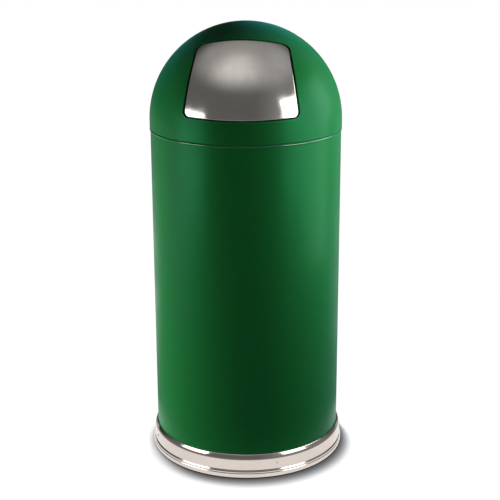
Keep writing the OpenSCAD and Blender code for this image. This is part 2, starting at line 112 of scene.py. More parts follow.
def round_hoops(piece, places, radius, segments):
    """Rolls a radius where the wall turns at these places.

    It takes the level edges whose first point is at a place. On a level face these are also some
    of the spokes that run across it, and which ones they are can differ from run to run. The face
    stays flat, but its mesh varies and the rolled corner moves by up to 0.03 mm.
    """
    slack = 0.02 * MM

    def starts_there(edge):
        start, end = [(math.hypot(v.co.x, v.co.y), v.co.z) for v in edge.verts]
        level = abs(start[1] - end[1]) < slack
        return level and any(math.dist(start, place) < slack for place in places)

    bpy.ops.mesh.select_mode(type="EDGE")
    pick(piece, "edges", starts_there)
    bpy.ops.mesh.bevel(offset=radius, segments=segments, affect="EDGES")


def smooth(piece, angle):
    """Smooths the piece but for turns sharper than this angle, and keeps its flats flat."""
    bpy.ops.object.shade_smooth_by_angle(angle=math.radians(angle))
    flats = piece.modifiers.new("flats", "WEIGHTED_NORMAL")
    flats.keep_sharp = True
    bpy.ops.object.modifier_apply(modifier=flats.name)


def make_good(piece, sheet=None, angle=35):
    """Closes the seams, turns the faces outwards, gives a wall its thickness and smooths it."""
    open_up(piece)
    bpy.ops.mesh.remove_doubles(threshold=0.004 * MM)
    bpy.ops.mesh.normals_make_consistent(inside=False)
    bpy.ops.object.mode_set(mode="OBJECT")
    if sheet:
        wall = piece.modifiers.new("sheet", "SOLIDIFY")
        wall.thickness = sheet
        wall.offset = -1
        bpy.ops.object.modifier_apply(modifier=wall.name)
    smooth(piece, angle)
    return piece


def fit(piece, body, material, node):
    """The finished piece takes its material, stands for its CAD node and rides on its body."""
    piece.data.materials.clear()
    piece.data.materials.append(material)
    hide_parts(node)
    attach(piece, body)


def new_material(name, **sockets):
    """A material with one Principled shader, whose plain values are set on its own sockets."""
    material = bpy.data.materials.new(name)
    material.use_nodes = True
    shader = material.node_tree.nodes["Principled BSDF"]
    for socket, value in sockets.items():
        shader.inputs[socket.replace("_", " ")].default_value = value
    return material, material.node_tree, shader


def feed(tree, socket, term):
    """Links a node's output to the socket, or sets the socket to a plain value."""
    if isinstance(term, bpy.types.NodeSocket):
        tree.links.new(term, socket)
    else:
        socket.default_value = term


def add(tree, kind, settings=(), **sockets):
    """A shader node with its settings, and with its named sockets fed."""
    new = tree.nodes.new("ShaderNode" + kind)
    for name, value in dict(settings).items():
        setattr(new, name, value)
    for name, term in sockets.items():
        feed(tree, new.inputs[name.replace("_", " ")], term)
    return new


def work(tree, operation, *terms):
    """The result of one sum on numbers or other nodes' outputs."""
    step = add(tree, "Math", {"operation": operation})
    for socket, term in zip(step.inputs, terms):
        feed(tree, socket, term)
    return step.outputs[0]


def ramp(tree, value, low, high, start=0, end=1):
    """Runs smoothly from start to end while the value goes from low to high."""
    return add(tree, "MapRange", {"interpolation_type": "SMOOTHSTEP"}, Value=value, From_Min=low,
               From_Max=high, To_Min=start, To_Max=end).outputs[0]


def tint(tree, share, plain, changed):
    """Mixes two colours."""
    mix = add(tree, "Mix", {"data_type": "RGBA"})
    for socket, term in zip((mix.inputs[0], mix.inputs[6], mix.inputs[7]), (share, plain, changed)):
        feed(tree, socket, term)
    return mix.outputs[2]


def shared_effect(name, gives, **takes):
    """A node group for several materials: its own tree, what it takes and what it gives."""
    group = bpy.data.node_groups.new(name, "ShaderNodeTree")
    number = "NodeSocketFloat"
    for word, usual in takes.items():
        taken = group.interface.new_socket(name=word, in_out="INPUT", socket_type=number)
        taken.default_value = usual
    group.interface.new_socket(name=gives, in_out="OUTPUT", socket_type=number)
    given = group.nodes.new("NodeGroupInput").outputs
    return group, given, group.nodes.new("NodeGroupOutput").inputs[0]


def use(tree, group, **sockets):
    """What a shared effect gives in this material."""
    return add(tree, "Group", {"node_tree": group}, **sockets).outputs[0]


def on_piece(tree, level=1, up=1):
    """Places on the piece itself, multiplied by one number on the level and another upwards."""
    place = add(tree, "TexCoord").outputs["Object"]
    scaled = add(tree, "VectorMath", {"operation": "MULTIPLY"})
    feed(tree, scaled.inputs[0], place)
    feed(tree, scaled.inputs[1], add(tree, "CombineXYZ", X=level, Y=level, Z=up).outputs[0])
    return scaled.outputs[0]


def raise_up(tree, shader, height, depth):
    """Lets the light see the surface raised by this depth where the height is 1."""
    feed(tree, shader.inputs["Normal"], add(tree, "Bump", Height=height, Distance=depth).outputs[0])


# soft uneven patches such as handling leaves: 0 to 1, Size is the width of a patch
marks, given, result = shared_effect("uneven marks", "Marks", Size=0.04)
patches = add(marks, "TexNoise", Vector=on_piece(marks), Detail=4, Roughness=0.6,
              Scale=work(marks, "DIVIDE", 1, given["Size"]))
feed(marks, result, ramp(marks, patches.outputs[0], 0.33, 0.67))

# even fine texture of a moulded or sprayed skin: Size is the width of one bump
skin, given, result = shared_effect("fine skin", "Height", Size=0.002)
bumps = add(skin, "TexNoise", Vector=on_piece(skin), Detail=2, Roughness=0.5,
            Scale=work(skin, "DIVIDE", 1, given["Size"]))
feed(skin, result, bumps.outputs[0])

# dust that settles on faces that look up: Size is the width of its patches
dust, given, result = shared_effect("settled dust", "Dust", Size=0.03)
faces_up = add(dust, "SeparateXYZ", Vector=add(dust, "TexCoord").outputs["Normal"]).outputs["Z"]
patches = use(dust, marks, Size=given["Size"])
feed(dust, result, work(dust, "MULTIPLY", ramp(dust, faces_up, 0.5, 1), patches))

# wear on the piece's outward edges: Start is how sharp an edge is before it wears, and Size is
# the width of the patches that break the wear up
wear, given, result = shared_effect("edge wear", "Wear", Start=0.53, Size=0.01)
uneven = work(wear, "MULTIPLY", use(wear, marks, Size=given["Size"]), 0.03)
sharpness = work(wear, "ADD", add(wear, "NewGeometry").outputs["Pointiness"], uneven)
feed(wear, result, ramp(wear, sharpness, given["Start"], work(wear, "ADD", given["Start"], 0.08)))

vinyl, tree, shader = new_material("vinyl")
dull = use(tree, marks, Size=0.02)
grey = tint(tree, use(tree, wear), (0.018, 0.018, 0.019, 1), (0.06, 0.06, 0.058, 1))
feed(tree, shader.inputs["Base Color"], tint(tree, use(tree, dust), grey, (0.13, 0.12, 0.11, 1)))
feed(tree, shader.inputs["Roughness"], ramp(tree, dull, 0, 1, 0.5, 0.68))
raise_up(tree, shader, use(tree, skin, Size=0.0012), 0.05 * MM)

ring_places = in_metres((185.2, 0), (197, 0), (197, 1.2), (187, 1.2), (187, 2), (190.45, 2),
                        (190.45, 3.2), (185.2, 3.2), (185.2, 0))
inner_foot, outer_foot, inner_top = ring_places[0], ring_places[1], ring_places[7]
floor_ring = hoop("floor_ring_vinyl", inner_foot)
draw_wall(ring_places)
bpy.ops.mesh.select_all(action="SELECT")
bpy.ops.mesh.remove_doubles(threshold=0.01 * MM)
round_hoops(floor_ring, [inner_foot, outer_foot, inner_top], 0.35 * MM, 2)
make_good(floor_ring)
fit(floor_ring, "bin_body", vinyl, "floor_gasket")


# ---------------------------------------------------------------- base ring
# A formed stainless ring, polished: a lip round the body, a sloping shoulder, a plain band, two
# small steps and a rim. Its foot is turned in under the body and its edges are rolled, not cut.

lip = in_metres((190.55, 49.6), (192.5, 49.6))
shoulder, band_foot = in_metres((196.8, 42.7), (196.8, 17.2))
first_step = in_metres((198.8, 14.4), (199.1, 13.2))
second_step = in_metres((199.15, 11.5), (199.95, 10.3), (200, 9.4))
rim_foot, turned_in, foot = in_metres((200, 4.2), (197.6, 1.2), (187, 1.2))
base_ring = hoop("base_ring_polished", lip[0])
draw_wall([*lip, shoulder, band_foot, *first_step, *second_step, rim_foot, turned_in, foot])
for turns, radius, segments in (
        (lip[1:], 0.9, 4), ([shoulder], 4, 8), ([band_foot], 0.6, 4), (first_step, 0.4, 4),
        (second_step, 0.3, 4), ([rim_foot], 1.6, 5), ([turned_in], 0.6, 4)):
    round_hoops(base_ring, turns, radius * MM, segments)
make_good(base_ring, sheet=0.8 * MM)

# fine lines that rolling or brushing draws level round a piece: Spacing is the usual gap
lines, given, result = shared_effect("drawn lines", "Lines", Spacing=0.0008)
grain = add(lines, "TexNoise", Scale=1, Detail=3, Roughness=0.65,
            Vector=on_piece(lines, 9, work(lines, "DIVIDE", 1, given["Spacing"])))
feed(lines, result, grain.outputs[0])

polished_steel, tree, shader = new_material("polished stainless", Metallic=1)
handled = use(tree, marks, Size=0.05)
rolled = use(tree, lines)
steel = tint(tree, handled, (0.72, 0.645, 0.595, 1), (0.7, 0.62, 0.565, 1))
feed(tree, shader.inputs["Base Color"], tint(tree, use(tree, wear), steel, (0.8, 0.75, 0.71, 1)))
feed(tree, shader.inputs["Roughness"], work(tree, "ADD", ramp(tree, handled, 0, 1, 0.07, 0.12),
                                            work(tree, "MULTIPLY", rolled, 0.05)))
waves = work(tree, "ADD", work(tree, "MULTIPLY", rolled, 0.02), use(tree, skin, Size=0.04))
raise_up(tree, shader, waves, 0.1 * MM)
fit(base_ring, "bin_body", polished_steel, "base_ring")


# ---------------------------------------------------------------- base ring rivets
# Four small stainless blind rivets, the first one to the right of the front, hold the ring to
# the body. Each has a low domed head with a hollow in it outside and a flat set head inside.

HEAD_R, HOLLOW_R = 2.6, 1.5
RIVET_Z = 30 * MM
FIRST_AT = 21  # degrees to the right of the front
put_away()
bpy.ops.mesh.primitive_uv_sphere_add(segments=32, ring_count=16, radius=HEAD_R * MM)
rivet = bpy.context.object
rivet.name = rivet.data.name = "base_ring_rivets_domed"
open_up(rivet)
bpy.ops.mesh.bisect(plane_co=(0, 0, 0.2 * MM), plane_no=(0, 0, 1), clear_inner=True, use_fill=True)
bpy.ops.mesh.select_all(action="SELECT")
bpy.ops.transform.resize(value=(1, 1, 0.5), center_override=(0, 0, 0))
bpy.ops.transform.translate(value=(0, 0, 196.72 * MM))
pick(rivet, "faces", lambda face: (
    face.calc_center_median().xy.length < HOLLOW_R * MM and face.normal.z > 0.5))
bpy.ops.mesh.extrude_region_move(TRANSFORM_OT_translate={"value": (0, 0, -0.9 * MM)})
# the shank, the part of the head that fills the holes, and the set head inside
for radius, place, depth in ((1.2, 193.2, 7.4), (HEAD_R, 193.3, 5.4), (HEAD_R, 189.1, 0.9)):
    bpy.ops.mesh.primitive_cylinder_add(vertices=32, radius=radius * MM, depth=depth * MM,
                                        location=(0, 0, place * MM))
bpy.ops.mesh.select_all(action="SELECT")
bpy.ops.transform.rotate(value=math.radians(-90), orient_axis="Y", center_override=(0, 0, 0))
bpy.ops.object.mode_set(mode="OBJECT")
first = rivet.data.copy()
rivet.data.clear_geometry()
rivets = bmesh.new()
for quarter in range(4):
    one = first.copy()
    if sum(v.co.x for v in one.vertices) < 0:
        one.transform(Matrix.Rotation(math.pi, 4, "Z"))
    one.transform(Matrix.Translation((0, 0, RIVET_Z)))
    one.transform(Matrix.Rotation(math.radians(FIRST_AT - 90 + 90 * quarter), 4, "Z"))
    rivets.from_mesh(one)
rivets.to_mesh(rivet.data)
make_good(rivet)
fit(rivet, "bin_body", polished_steel, "base_ring_rivets")


# ---------------------------------------------------------------- body
# The outer tube: steel sheet rolled to a tube and lap-seamed down the back, with a bead curled
# outwards round the top edge, then powder coated in a satin green.

def bend(centre, radius, start, end, steps):
    """The places along a bend of the sheet, in millimetres and degrees, in (radius, height)."""
    angles = [math.radians(start + (end - start) * i / steps) for i in range(steps + 1)]
    return [(centre[0] + radius * math.cos(a), centre[1] + radius * math.sin(a)) for a in angles]


def on_lap(vertex, top):
    """Whether a point of the tube lies on the lap seam at the back, below this height."""
    return abs(vertex.co.x) < 0.01 * MM and vertex.co.y > 0 and vertex.co.z < top


green_paint, tree, shader = new_material(
    "green powder coat", Metallic=0.06, Specular_IOR_Level=0.1, Specular_Tint=(0.12, 1, 1, 1),
    Sheen_Weight=0.17, Sheen_Roughness=0.4, Sheen_Tint=(0.08, 0.98, 1, 1),
    Coat_Roughness=0.15, Coat_IOR=2)
handled = use(tree, marks, Size=0.06)
powder = use(tree, skin, Size=0.0022)
green = tint(tree, handled, (0.0115, 0.163, 0.0245, 1), (0.013, 0.153, 0.0265, 1))
worn = work(tree, "MULTIPLY", use(tree, wear, Start=0.56), 0.3)
green = tint(tree, worn, green, (0.03, 0.25, 0.08, 1))
dusty = work(tree, "MULTIPLY", use(tree, dust), 0.04)
green = tint(tree, dusty, green, (0.35, 0.37, 0.33, 1))
# the dome's hem rubs the bead glossy along one narrow band
level = add(tree, "SeparateXYZ", Vector=on_piece(tree)).outputs["Z"]
rubbed = work(tree, "MULTIPLY", ramp(tree, level, 0.6779, 0.6782),
              ramp(tree, level, 0.6793, 0.6789))
feed(tree, shader.inputs["Base Color"], green)
feed(tree, shader.inputs["Coat Weight"], rubbed)
feed(tree, shader.inputs["Roughness"], work(tree, "ADD", ramp(tree, handled, 0, 1, 0.26, 0.32),
                                            work(tree, "MULTIPLY", powder, 0.04)))
raise_up(tree, shader, powder, 0.03 * MM)

BODY_R = 190.5
body_places = in_metres(
    *((BODY_R, height) for height in (6, 7, 40, 660, 672, 675.3)), (190.6, 675.95),
    *bend((190.05, 678.2), 2, -65, 225, 15))
body = hoop("body_painted", body_places[0])
draw_wall(body_places)
pick(body, "edges", lambda edge: all(on_lap(v, 672.5 * MM) for v in edge.verts))
bpy.ops.mesh.bevel(offset=0.6 * MM, segments=2, affect="EDGES")
pick(body, "verts", lambda vertex: on_lap(vertex, 671 * MM))
bpy.ops.transform.translate(value=(0, -0.4 * MM, 0))
make_good(body, sheet=1 * MM)
fit(body, "bin_body", green_paint, "body_shell")


# ---------------------------------------------------------------- body floor and seam strip
# The floor is a pressed pan, its flange turned down and welded in. A strip backs the lap seam.
# Both are coated with the body.

pan_places = in_metres((189.45, 8), (189.45, 17.5), *bend((185.95, 17.5), 3.5, 15, 90, 5),
                       (150, 21), (147, 20), (60, 20), (57, 21), (1, 21))
pan = hoop("body_floor_painted", pan_places[0])
draw_wall(pan_places)
bpy.ops.mesh.merge(type="CENTER")
make_good(pan, sheet=1 * MM)
fit(pan, "bin_body", green_paint, "body_floor")
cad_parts["body_seam_strip"].data.materials.clear()
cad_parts["body_seam_strip"].data.materials.append(green_paint)


# ---------------------------------------------------------------- liner wall, rim and floor
# The lift-out liner: galvanised sheet rolled to a slightly tapered tub, stiffened by three
# swaged beads, its top edge rolled round a wire and a raised floor crimped in.

galvanised, tree, shader = new_material("galvanised sheet", Metallic=1)
flow = add(tree, "TexNoise", Vector=on_piece(tree), Scale=60, Detail=2)
bent = add(tree, "Mix", {"data_type": "VECTOR"})
for socket, term in zip((bent.inputs[0], bent.inputs[4], bent.inputs[5]),
                        (0.006, on_piece(tree), flow.outputs["Color"])):
    feed(tree, socket, term)
frost = add(tree, "TexVoronoi", Vector=bent.outputs[1], Scale=120)
crystal = add(tree, "SeparateColor", Color=frost.outputs["Color"]).outputs[0]
zinc = tint(tree, crystal, (0.47, 0.49, 0.51, 1), (0.57, 0.59, 0.61, 1))
stained = work(tree, "MULTIPLY", use(tree, marks, Size=0.08), 0.3)
zinc = tint(tree, stained, zinc, (0.5, 0.5, 0.48, 1))
zinc = tint(tree, use(tree, wear), zinc, (0.72, 0.73, 0.74, 1))
dusty = work(tree, "MULTIPLY", use(tree, dust), 0.3)
feed(tree, shader.inputs["Base Color"], tint(tree, dusty, zinc, (0.3, 0.29, 0.26, 1)))
feed(tree, shader.inputs["Roughness"], ramp(tree, crystal, 0, 1, 0.4, 0.5))
raise_up(tree, shader, work(tree, "ADD", crystal, use(tree, skin, Size=0.001)), 0.01 * MM)

FOOT_R, FOOT_Z = 160.8, 21.05
TOP_R, TOP_Z = 171.2, 660


def liner_radius(height):
    """Outside radius of the liner's wall at a height, both in millimetres."""
    return FOOT_R + (TOP_R - FOOT_R) * (height - FOOT_Z) / (TOP_Z - FOOT_Z)


def on_liner(*heights):
    """Places on the liner's wall, in (radius, height)."""
    return [(liner_radius(height), height) for height in heights]


wall_places = [(FOOT_R, FOOT_Z), *on_liner(24)]
for bead in (110, 335, 560):
    wall_places += on_liner(bead - 9, bead - 5.2)
    wall_places += bend((liner_radius(bead) - 2, bead), 4.2, -50, 50, 8)
    wall_places += on_liner(bead + 5.2, bead + 9)
wall_places = in_metres(*wall_places, *on_liner(640, 654, 657.6))
liner = hoop("liner_wall_galvanised", wall_places[0])
draw_wall(wall_places)
make_good(liner, sheet=0.8 * MM)
fit(liner, "liner", galvanised, "liner_wall")

rim_places = in_metres(*bend((171, TOP_Z), 3, -100, 222, 24))
rim = hoop("liner_rim_rolled", rim_places[0])
draw_wall(rim_places)
make_good(rim, sheet=0.8 * MM)
fit(rim, "liner", galvanised, "liner_rim")

tub_floor = in_metres((159.95, 21.1), (159.98, 24.6), *bend((156.55, 24.6), 3.4, 15, 90, 5),
                      (140, 28), (137.5, 27.2), (80, 27.2), (77.5, 28), (1, 28))
liner_floor = hoop("liner_floor_galvanised", tub_floor[0])
draw_wall(tub_floor)
bpy.ops.mesh.merge(type="CENTER")
make_good(liner_floor, sheet=0.8 * MM)
fit(liner_floor, "liner", galvanised, "liner_floor")


# ---------------------------------------------------------------- liner seam, ears and rivets
# A strip covers the wall's side seam between the beads. Two hat-shaped ears, pressed from
# galvanised strip and held by four rivets each, carry the ends of the bail.

def dress(node, name, radius, segments=2):
    """A copy of a CAD node's shape with its edges broken by a small radius."""
    sharp = 35
    put_away()
    piece = bpy.data.objects.new(name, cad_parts[node].data.copy())
    piece.data.name = name
    bpy.context.scene.collection.objects.link(piece)
    open_up(piece)
    if piece.data.has_custom_normals:
        bpy.ops.mesh.customdata_custom_splitnormals_clear()
    bpy.ops.mesh.remove_doubles(threshold=0.002 * MM)
    bpy.ops.mesh.select_all(action="SELECT")
    bpy.ops.mesh.dissolve_limited(angle_limit=math.radians(0.6))
    bpy.ops.object.mode_set(mode="OBJECT")
    edges = piece.modifiers.new("edges", "BEVEL")
    edges.width = radius
    edges.segments = segments
    edges.limit_method = "ANGLE"
    edges.angle_limit = math.radians(sharp)
    edges.use_clamp_overlap = True
    bpy.ops.object.modifier_apply(modifier=edges.name)
    smooth(piece, sharp)
    return piece


for node in ("liner_seam", "bail_ear_left", "bail_ear_right", "bail_ear_rivets"):
    fit(dress(node, node + "_galvanised", 0.3 * MM), "liner", galvanised, node)


# ---------------------------------------------------------------- bail
# A half circle of galvanised wire to lift the liner by, its ends turned in through the ears,
# with a split black tube snapped on the middle as a grip.

black_plastic, tree, shader = new_material("black plastic")
handled = use(tree, marks, Size=0.012)
black = tint(tree, handled, (0.018, 0.018, 0.018, 1), (0.026, 0.026, 0.027, 1))
feed(tree, shader.inputs["Base Color"], tint(tree, use(tree, wear), black, (0.08, 0.08, 0.08, 1)))
feed(tree, shader.inputs["Roughness"], ramp(tree, handled, 0, 1, 0.3, 0.45))
raise_up(tree, shader, use(tree, skin, Size=0.0008), 0.02 * MM)
wire = dress("bail_wire", "bail_wire_galvanised", 0.4 * MM)
fit(wire, "bail", galvanised, "bail_wire")
grip = dress("bail_grip", "bail_grip_plastic", 0.9 * MM, 3)
fit(grip, "bail", black_plastic, "bail_grip")


# ---------------------------------------------------------------- dome
# A half-round top spun from steel sheet with a short straight skirt and a rolled hem, and a
# mouth cut for the door with its edge turned in. It is coated with the body.

SKIN_R, CENTRE_Z, HEM_Z = 191.8, 695.7, 683.1
DOME_R = SKIN_R * MM
DOME_Z = CENTRE_Z * MM
TILT = math.radians(35)
DOOR_GAP = 2.5


def door_place(x, v, w):
    """A place in millimetres across, up along and out of the door, from the dome's centre."""
    lean, rise = math.sin(TILT), math.cos(TILT)
    return Vector((x, v * lean - w * rise, v * rise + w * lean)) * MM


def door_edge(grown):
    """The door's outline, larger by grown: (across, up) in millimetres, from the middle of its
    lower edge round to the right, with most points in the corners."""
    taper = 8.8
    top, top_round = 84, 16
    low_round, sag, bottom = 14, 290, -82.6
    across, up = math.cos(math.radians(taper)), math.sin(math.radians(taper))
    side = 98.8 * across
    top_at = ((side - top_round - (top - top_round) * up) / across, top - top_round)

    # the lower corner's centre lies one corner radius inside both the side and the sagging edge
    low_centre = sag + bottom
    slope, x0 = math.tan(math.radians(taper)), (side - low_round) / across
    a, b = 1 + slope ** 2, -2 * (x0 * slope + low_centre)
    c = x0 ** 2 + low_centre ** 2 - (sag - low_round) ** 2
    v = (-b - math.sqrt(b * b - 4 * a * c)) / (2 * a)
    low_at = ((side - low_round - v * up) / across, v)
    turn = math.degrees(math.atan2(low_at[1] - low_centre, low_at[0]))

    def line(start, end, steps):
        return [tuple(s + (e - s) * i / steps for s, e in zip(start, end)) for i in range(1, steps)]

    half = bend((0, low_centre), sag + grown, -90, turn, 20)
    half += bend(low_at, low_round + grown, turn, taper, 14)[1:]
    top_corner = bend(top_at, top_round + grown, taper, 90, 14)
    half += line(half[-1], top_corner[0], 32) + top_corner
    half += line(top_corner[-1], (0, top + grown), 20) + [(0, top + grown)]
    return half + [(-x, v) for x, v in half[-2:0:-1]]


def on_ball(outline, radius):
    """Where an outline, seen along the door's own direction, meets a ball."""
    return [door_place(x, v, math.sqrt((radius / MM) ** 2 - x * x - v * v)) for x, v in outline]


def set_hoop(piece, places):
    """Moves the selected hoop's points to these places."""
    mesh = bmesh.from_edit_mesh(piece.data)
    for vertex, place in zip([v for v in mesh.verts if v.select], places):
        vertex.co = place
    bmesh.update_edit_mesh(piece.data)


def pick_border(piece, test):
    """Selects the open edges whose middle passes the test."""
    bpy.ops.mesh.select_mode(type="EDGE")
    pick(piece, "edges", lambda edge: (
        edge.is_boundary and test((edge.verts[0].co + edge.verts[1].co) / 2)))


def round_turns(radius, segments):
    """Rolls a radius on every edge of the open piece where its sheet turns sharply."""
    bpy.ops.mesh.select_mode(type="EDGE")
    bpy.ops.mesh.select_all(action="DESELECT")
    bpy.ops.mesh.edges_select_sharp(sharpness=math.radians(40))
    bpy.ops.mesh.bevel(offset=radius, segments=segments, affect="EDGES")


def onto_ball(piece, radius):
    """Draws every point of the piece straight out to a ball round its own origin."""
    ball = piece.modifiers.new("ball", "CAST")
    ball.cast_type = "SPHERE"
    ball.factor = 1
    ball.use_radius_as_size = False
    ball.size = radius
    take_up(piece)
    bpy.ops.object.modifier_apply(modifier=ball.name)


def lift_to_dome(piece):
    """Brings a piece made round the dome's centre up to its height."""
    piece.data.transform(Matrix.Translation((0, 0, DOME_Z)))


mouth = on_ball(door_edge(DOOR_GAP), DOME_R)
dome = hoop("dome_painted", (DOME_R, 0), len(mouth))
bpy.ops.mesh.primitive_circle_add(vertices=len(mouth), radius=DOME_R)
set_hoop(dome, mouth)
bpy.ops.mesh.select_mode(type="EDGE")
bpy.ops.mesh.select_all(action="SELECT")
bpy.ops.mesh.bridge_edge_loops(number_cuts=44, interpolation="LINEAR")
onto_ball(dome, DOME_R)
open_up(dome)
pick_border(dome, lambda p: p.z > 1 * MM)
bpy.ops.mesh.extrude_region_move(TRANSFORM_OT_translate={"value": door_place(0, 0, -7)})
bpy.ops.mesh.select_all(action="SELECT")
bpy.ops.mesh.normals_make_consistent(inside=False)
round_turns(1.6 * MM, 5)
pick_border(dome, lambda p: abs(p.z) < 0.01 * MM)
hem = HEM_Z - CENTRE_Z
draw_wall(in_metres((SKIN_R, 0), (SKIN_R, -6), (SKIN_R, hem + 1),
                    *bend((188.8, hem), 3, 0, -90, 8), (188.3, hem - 2.95)))
bpy.ops.object.mode_set(mode="OBJECT")
lift_to_dome(dome)
make_good(dome, sheet=1.2 * MM)
fit(dome, "dome", green_paint, "dome_shell")


# ---------------------------------------------------------------- dome collar and bumpers
# A joggled steel ring, zinc plated, is welded inside the skirt and centres the dome in the
# body's bead. Two rubber buttons under the mouth take the door's stop lip.

zinc_plate, tree, shader = new_material("zinc plate", Metallic=1)
passive = tint(tree, use(tree, marks, Size=0.03), (0.52, 0.54, 0.57, 1), (0.6, 0.57, 0.49, 1))
passive = tint(tree, use(tree, wear), passive, (0.74, 0.74, 0.73, 1))
dusty = work(tree, "MULTIPLY", use(tree, dust), 0.25)
feed(tree, shader.inputs["Base Color"], tint(tree, dusty, passive, (0.3, 0.28, 0.25, 1)))
feed(tree, shader.inputs["Roughness"], ramp(tree, use(tree, marks, Size=0.02), 0, 1, 0.31, 0.37))
raise_up(tree, shader, use(tree, skin, Size=0.0006), 0.01 * MM)

rubber, tree, shader = new_material("rubber")
scuffed = work(tree, "MULTIPLY", use(tree, marks, Size=0.004), 0.6)
feed(tree, shader.inputs["Base Color"],
     tint(tree, scuffed, (0.018, 0.018, 0.018, 1), (0.04, 0.039, 0.037, 1)))
feed(tree, shader.inputs["Roughness"], ramp(tree, use(tree, marks, Size=0.003), 0, 1, 0.6, 0.8))
raise_up(tree, shader, use(tree, skin, Size=0.0007), 0.03 * MM)

collar_places = in_metres((190.55, 694.0), (190.55, 686.6), (187.45, 682.6), (187.45, 660))
collar = hoop("dome_collar_plated", collar_places[0])
draw_wall(collar_places)
round_hoops(collar, collar_places[1:3], 1.2 * MM, 3)
make_good(collar, sheet=0.8 * MM)
fit(collar, "dome", zinc_plate, "dome_collar")
buttons = dress("stop_bumpers", "stop_bumpers_rubber", 0.8 * MM, 3)
fit(buttons, "dome", rubber, "stop_bumpers")


# ---------------------------------------------------------------- hinge brackets, rod and caps
# Two plated brackets are welded under the dome beside the mouth. The hinge rod lies in them,
# held endways by push-on caps.

for node in ("hinge_bracket_left", "hinge_bracket_right", "hinge_rod", "hinge_rod_caps"):
    fit(dress(node, node + "_plated", 0.35 * MM), "dome", zinc_plate, node)


# ---------------------------------------------------------------- door
# The push door is one stainless pressing with the dome's own curve and a fine satin finish. Its
# edge is rolled over and turned in all round.

brushed_steel, tree, shader = new_material("satin stainless", Metallic=1)
handled = use(tree, marks, Size=0.035)
brushed = use(tree, lines, Spacing=0.0006)
steel = tint(tree, handled, (0.64, 0.61, 0.57, 1), (0.6, 0.57, 0.53, 1))
feed(tree, shader.inputs["Base Color"], tint(tree, use(tree, wear), steel, (0.78, 0.74, 0.7, 1)))
feed(tree, shader.inputs["Roughness"], work(tree, "ADD", ramp(tree, handled, 0, 1, 0.1, 0.16),
                                            work(tree, "MULTIPLY", brushed, 0.05)))
waves = work(tree, "ADD", work(tree, "MULTIPLY", brushed, 0.012), use(tree, skin, Size=0.05))
raise_up(tree, shader, waves, 0.25 * MM)

LOW_CORNER, GRID_SPAN = 27, 46  # the grid's first point in the outline, and its points across
edge = on_ball(door_edge(0), DOME_R)
put_away()
bpy.ops.mesh.primitive_circle_add(vertices=len(edge), radius=DOME_R)
door = bpy.context.object
door.name = door.data.name = "door_satin"
open_up(door)
set_hoop(door, edge)
mesh = bmesh.from_edit_mesh(door.data)
mesh.verts.ensure_lookup_table()
mesh.select_history.clear()
mesh.select_history.add(mesh.verts[LOW_CORNER])
bmesh.update_edit_mesh(door.data)
bpy.ops.mesh.fill_grid(span=GRID_SPAN, use_interp_simple=True)
onto_ball(door, DOME_R)
open_up(door)
pick_border(door, lambda p: True)
bpy.ops.mesh.extrude_region_move(TRANSFORM_OT_translate={"value": door_place(0, 0, -8)})
bpy.ops.mesh.select_all(action="SELECT")
bpy.ops.mesh.normals_make_consistent(inside=False)
round_turns(2 * MM, 6)
bpy.ops.object.mode_set(mode="OBJECT")
lift_to_dome(door)
make_good(door, sheet=1 * MM)
fit(door, "door", brushed_steel, "door_panel")


# ---------------------------------------------------------------- door arms, bushes and stop lip
# Two plated arms are welded behind the door and turn on the rod in white nylon bushes. The
# stop lip reaches under the mouth and closes against the rubber.

nylon, tree, shader = new_material("nylon")
yellowed = use(tree, marks, Size=0.004)
feed(tree, shader.inputs["Base Color"],
     tint(tree, yellowed, (0.76, 0.74, 0.67, 1), (0.66, 0.63, 0.55, 1)))
feed(tree, shader.inputs["Roughness"], ramp(tree, use(tree, marks, Size=0.003), 0, 1, 0.34, 0.48))
raise_up(tree, shader, use(tree, skin, Size=0.0008), 0.01 * MM)
for node in ("hinge_arm_left", "hinge_arm_right", "stop_lip"):
    fit(dress(node, node + "_plated", 0.35 * MM), "door", zinc_plate, node)
bushes = dress("hinge_bushings", "hinge_bushings_nylon", 0.3 * MM)
fit(bushes, "door", nylon, "hinge_bushings")


# ---------------------------------------------------------------- torsion springs
# Two springs of plated wire, coiled round the hinge rod, close the door. One leg of each lies on
# the inside of the dome and the other behind the door. On the bin the coil twists as the door
# opens; here each spring is drawn fixed, as it lies with the door shut.

WIRE_R, COIL_R = 0.8, 6
HINGE = 72, 136
STEPS = 150
DOME_INSIDE, DOOR_INSIDE = 190.6, 190.8
coil_from, coil_to = 93.4, 78.6
to_coil = Vector((0, -0.8, -0.6))
to_door = Vector((0, -0.66, 0.7513))
first_turn = math.atan2(-to_coil.y, to_coil.z)
last_turn = math.atan2(-to_door.y, to_door.z) + 6 * 2 * math.pi


def on_coil(x, turn):
    return Vector((x, HINGE[0] + COIL_R * math.cos(turn), HINGE[1] + COIL_R * math.sin(turn)))


def leg_to_skin(place, way, skin_radius):
    """From a place, how far the wire runs this way before it lies against the skin."""
    inside = skin_radius - WIRE_R - 0.1
    near = place.dot(way)
    return way * (-near + math.sqrt(near * near - place.length_squared + inside ** 2))


